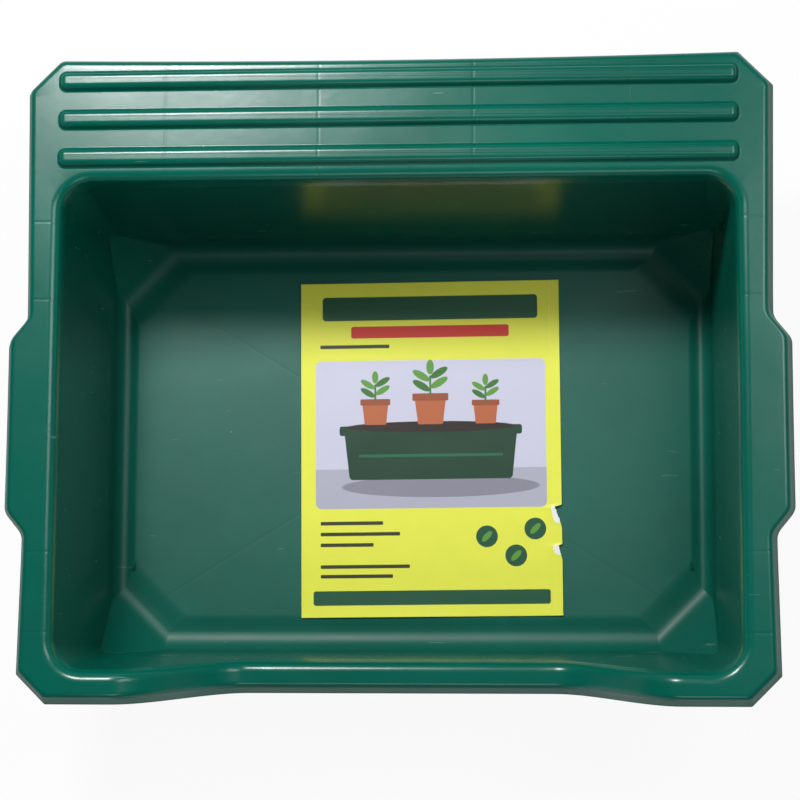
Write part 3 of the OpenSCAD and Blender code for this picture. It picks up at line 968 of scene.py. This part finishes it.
def print_colours(s):
    """The inks of the sheet."""
    return {"pale": s.pale, "leaf": s.leaf, "accent": s.accent, "ink": s.ink, "bench": shaded(s.pale, 0.72),
            "shade": shaded(s.pale, 0.42), "trough": shaded(s.leaf, 0.55), "rim": shaded(s.leaf, 1.5),
            "soil": (0.022, 0.014, 0.010), "pot": (0.46, 0.125, 0.045), "pot_dark": (0.30, 0.075, 0.028),
            "sprout": (0.10, 0.30, 0.035), "sprout_dark": (0.035, 0.16, 0.022)}


def print_shapes():
    """Every shape of the print, from the lowest layer up."""
    shapes = list(PRINT)
    for x, size in POTS:
        shapes.append(("box", (x, 20 + 9 * size), (11 * size, 9 * size), 1.2, 0.012, "pot"))
        shapes.append(("box", (x, 20 + 19 * size), (12.5 * size, 2.6 * size), 1, 0, "pot_dark"))
        shapes.append(("box", (x, 20 + 27 * size), (0.8, 7 * size), 0.5, 0, "sprout_dark"))
        for side, rise, tone in ((-1, 27, "sprout_dark"), (1, 29, "sprout"), (-1, 34, "sprout"),
                                 (1, 36, "sprout_dark"), (0, 40, "sprout")):
            half = (6.8, 2.5) if side else (2.6, 5.2)
            shapes.append(("oval", (x + side * 6.2 * size, 20 + rise * size),
                           (half[0] * size, half[1] * size), -0.55 * side, 0, tone))
    for x, y in BADGES:
        shapes.append(("oval", (x, y), (9, 9), 0, 0, "leaf"))
        shapes.append(("oval", (x, y), (5.6, 2.4), -0.8, 0, "sprout"))
    for x, y, run in LINES:
        shapes.append(("box", (x + run / 2, y), (run / 2, 1.5), 0.7, 0, "ink"))
    return shapes


# Fibre and waves of the card: features to the millimetre, detail and depth in metres.
PAPER_RELIEF = ((1.4, 3.0, 0.000012), (0.02, 1.0, 0.0006))
FOLD_DEPTH = 0.00012


def paper_material(s):
    """Coated card with a printed picture of seedlings, white at the torn edge, with a faint fibre and fold."""
    n = Surface("printed_card")
    inks = print_colours(s)
    groups = {kind: shape_group(kind) for kind in ("box", "oval")}
    flat = n.add("ShaderNodeUVMap", uv_map="UVMap").outputs[0]
    place = n.add("ShaderNodeVectorMath", {0: flat, 1: (1000.0,) * 3}, operation="MULTIPLY").outputs[0]
    mottle = n.noise(place, 0.05, 3.0)
    base = n.blend(mottle, opaque(s.ground), opaque(shaded(s.ground, 0.93)))
    for kind, middle, half, turn, taper, ink in print_shapes():
        node = n.add("ShaderNodeGroup", node_tree=groups[kind])
        n.feed(node.inputs["Place"], place)
        node.inputs["Middle"].default_value = (*middle, 0.0)
        node.inputs["Half"].default_value = (*half, 1.0)
        node.inputs["Round"].default_value = turn
        node.inputs["Taper"].default_value = taper
        base = n.blend(node.outputs["Mask"], base, opaque(inks[ink]))
    core = n.add("ShaderNodeAttribute", attribute_name="torn").outputs["Fac"]
    ragged = n.plus(core, n.times(n.minus(n.noise(place, 0.9, 3.0), 0.5), 0.5))
    base = n.blend(n.ramp(ragged, 0.4, 0.6), base, (0.86, 0.87, 0.84, 1.0))
    n.feed(n.shader.inputs["Base Color"], base)
    rough = n.ramp(ragged, 0.4, 0.6, 0.42, 0.85)
    n.feed(n.shader.inputs["Roughness"], rough)
    across = n.split(place)[0]
    fold = n.ramp(n.size(n.minus(across, 99.0)), 0.0, 0.8, 1.0, 0.0)
    height = n.times(fold, FOLD_DEPTH)
    for scale, detail, depth in PAPER_RELIEF:
        height = n.plus(height, n.times(n.noise(place, scale, detail), depth))
    bump = n.add("ShaderNodeBump", {"Height": height, "Strength": 1.0, "Distance": 1.0})
    n.feed(n.shader.inputs["Normal"], bump.outputs["Normal"])
    n.shader.inputs["Specular IOR Level"].default_value = 0.35
    return n.material


class TRAY_OT_sheet(Operator):
    """Model the loose printed sheet that lies on the floor of the basin"""

    bl_idname = "tray.sheet"
    bl_label = "Printed sheet"

    def execute(self, context):
        s = context.scene.tray_sheet
        sheet = draw_sheet(s, "paper_sheet")
        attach(sheet, "sheet")
        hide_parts("insert_sheet")
        card = paper_material(s)
        sheet.data.materials.clear()
        sheet.data.materials.append(card)
        dress_node("insert_sheet", card)
        return {"FINISHED"}


# How white the floor looks, where 1 would hide the shadow on it, and the horizon's brightness to match.
FLOOR_GLOW = 0.93
HORIZON = 0.934
LAMP_AIM = Vector((0.0, 0.0, 0.1))
# Each lamp: name, place, size in metres and power in watts.
LAMPS = (
    ("key_lamp", (-0.40, 0.80, 1.50), (0.32, 0.28), 25.0),
    ("left_panel", (-0.50, 0.56, 1.50), (0.30, 0.40), 0.7),
    ("side_lamp", (0.85, 0.36, 1.70), (0.60, 0.80), 10.0),
    ("front_fill", (0.05, -1.15, 1.30), (0.70, 0.40), 3.0),
)


class StageLook(PropertyGroup):
    """Camera, lamps and floor."""

    camera_place: FloatVectorProperty(name="Camera place", size=3, subtype="XYZ", unit="LENGTH",
                                      default=(0.1278, -0.2378, 1.902),
                                      description="Where the photograph was taken from")
    camera_turn: FloatVectorProperty(name="Camera turn", size=3, subtype="EULER", unit="ROTATION",
                                     default=(math.radians(6.995), math.radians(3.624), math.radians(0.187)),
                                     description="How the camera is turned")
    camera_lens: FloatProperty(name="Lens", default=103.36, description="Focal length in millimetres")
    camera_shift: FloatVectorProperty(name="Lens shift", size=2, default=(-0.025, 0.0125),
                                      description="How far the photograph's frame is off the lens's middle")
    ambient: share("Ambient", 0.04, "Brightness overhead")


def floor_material():
    """A white floor that the camera and reflections see as bright, with the object's shadow kept on it."""
    n = Surface("studio_floor")
    n.shader.inputs["Base Color"].default_value = (0.82, 0.82, 0.82, 1.0)
    n.shader.inputs["Roughness"].default_value = 0.9
    n.shader.inputs["Specular IOR Level"].default_value = 0.1
    path = n.add("ShaderNodeLightPath").outputs
    seen = n.most(path["Is Camera Ray"],
                  n.most(path["Is Glossy Ray"], path["Is Transmission Ray"]))
    glow = n.add("ShaderNodeEmission", {"Color": (1.0, 1.0, 1.0, 1.0), "Strength": 1.0}).outputs[0]
    share_seen = n.times(seen, FLOOR_GLOW)
    mixed = n.add("ShaderNodeMixShader", {0: share_seen, 1: n.shader.outputs[0], 2: glow})
    n.tree.links.new(mixed.outputs[0], n.output.inputs["Surface"])
    return n.material


def add_lamp(name, place, size, power):
    """A white soft box: a rectangular lamp that faces the middle of the basin."""
    bpy.ops.object.light_add(type="AREA", location=place)
    lamp = bpy.context.object
    lamp.name = name
    lamp.data.shape = "RECTANGLE"
    lamp.data.size, lamp.data.size_y = size
    lamp.data.energy = power
    lamp.rotation_euler = (LAMP_AIM - Vector(place)).to_track_quat("-Z", "Y").to_euler()
    return lamp


def studio_world(look):
    """Dim soft light from above, pale towards the horizon."""
    world = bpy.data.worlds.new("studio")
    world.use_nodes = True
    n = Nodes(world.node_tree)
    way = n.split(n.add("ShaderNodeTexCoord").outputs["Generated"])[2]
    sky = n.blend(n.ramp(way, 0.0, 0.22), (HORIZON,) * 3 + (1.0,), (look.ambient,) * 3 + (1.0,))
    n.feed(world.node_tree.nodes["Background"].inputs["Color"], sky)
    return world


class TRAY_OT_stage(Operator):
    """Add the pale floor, the studio lamps and the camera"""

    bl_idname = "tray.stage"
    bl_label = "Stage"

    def execute(self, context):
        look = context.scene.tray_stage
        deselect()
        bpy.ops.mesh.primitive_plane_add(size=40.0, location=(0, 0, -0.0004))
        floor = context.object
        floor.name = "stage_floor"
        floor.data.materials.append(floor_material())
        bpy.ops.object.camera_add(location=look.camera_place, rotation=look.camera_turn)
        camera = context.object
        camera.data.lens = look.camera_lens
        camera.data.sensor_width = 36.0
        camera.data.shift_x, camera.data.shift_y = look.camera_shift
        context.scene.camera = camera
        for name, place, size, power in LAMPS:
            add_lamp(name, place, size, power)
        context.scene.world = studio_world(look)
        context.scene.view_settings.view_transform = "Standard"
        return {"FINISHED"}


GROUPS = {"tray_shape": TrayShape, "tray_plastic": PlasticLook,
          "tray_sheet": SheetShape, "tray_stage": StageLook}
STEPS = (
    ("tray.moulding", ("tray_shape", "tray_plastic")),
    ("tray.sheet", ("tray_sheet",)),
    ("tray.stage", ("tray_stage",)),
)


class TRAY_PT_sidebar(Panel):
    """Every step of the model, each above the values that it uses"""

    bl_idname = "TRAY_PT_sidebar"
    bl_label = "Potting tray"
    bl_space_type = "VIEW_3D"
    bl_region_type = "UI"
    bl_category = "Potting tray"

    def draw(self, context):
        for step, names in STEPS:
            box = self.layout.box()
            box.operator(step)
            column = box.column(align=True)
            for name in names:
                for value in GROUPS[name].__annotations__:
                    column.prop(getattr(context.scene, name), value)


CLASSES = (*GROUPS.values(), TRAY_OT_moulding, TRAY_OT_sheet, TRAY_OT_stage, TRAY_PT_sidebar)


def register():
    for cls in CLASSES:
        bpy.utils.register_class(cls)
    for name, group in GROUPS.items():
        setattr(bpy.types.Scene, name, PointerProperty(type=group))


def unregister():
    for name in GROUPS:
        delattr(bpy.types.Scene, name)
    for cls in reversed(CLASSES):
        bpy.utils.unregister_class(cls)


def main():
    register()
    bpy.ops.tray.moulding()
    bpy.ops.tray.sheet()
    bpy.ops.tray.stage()
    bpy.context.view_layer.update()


if __name__ == "__main__":
    main()
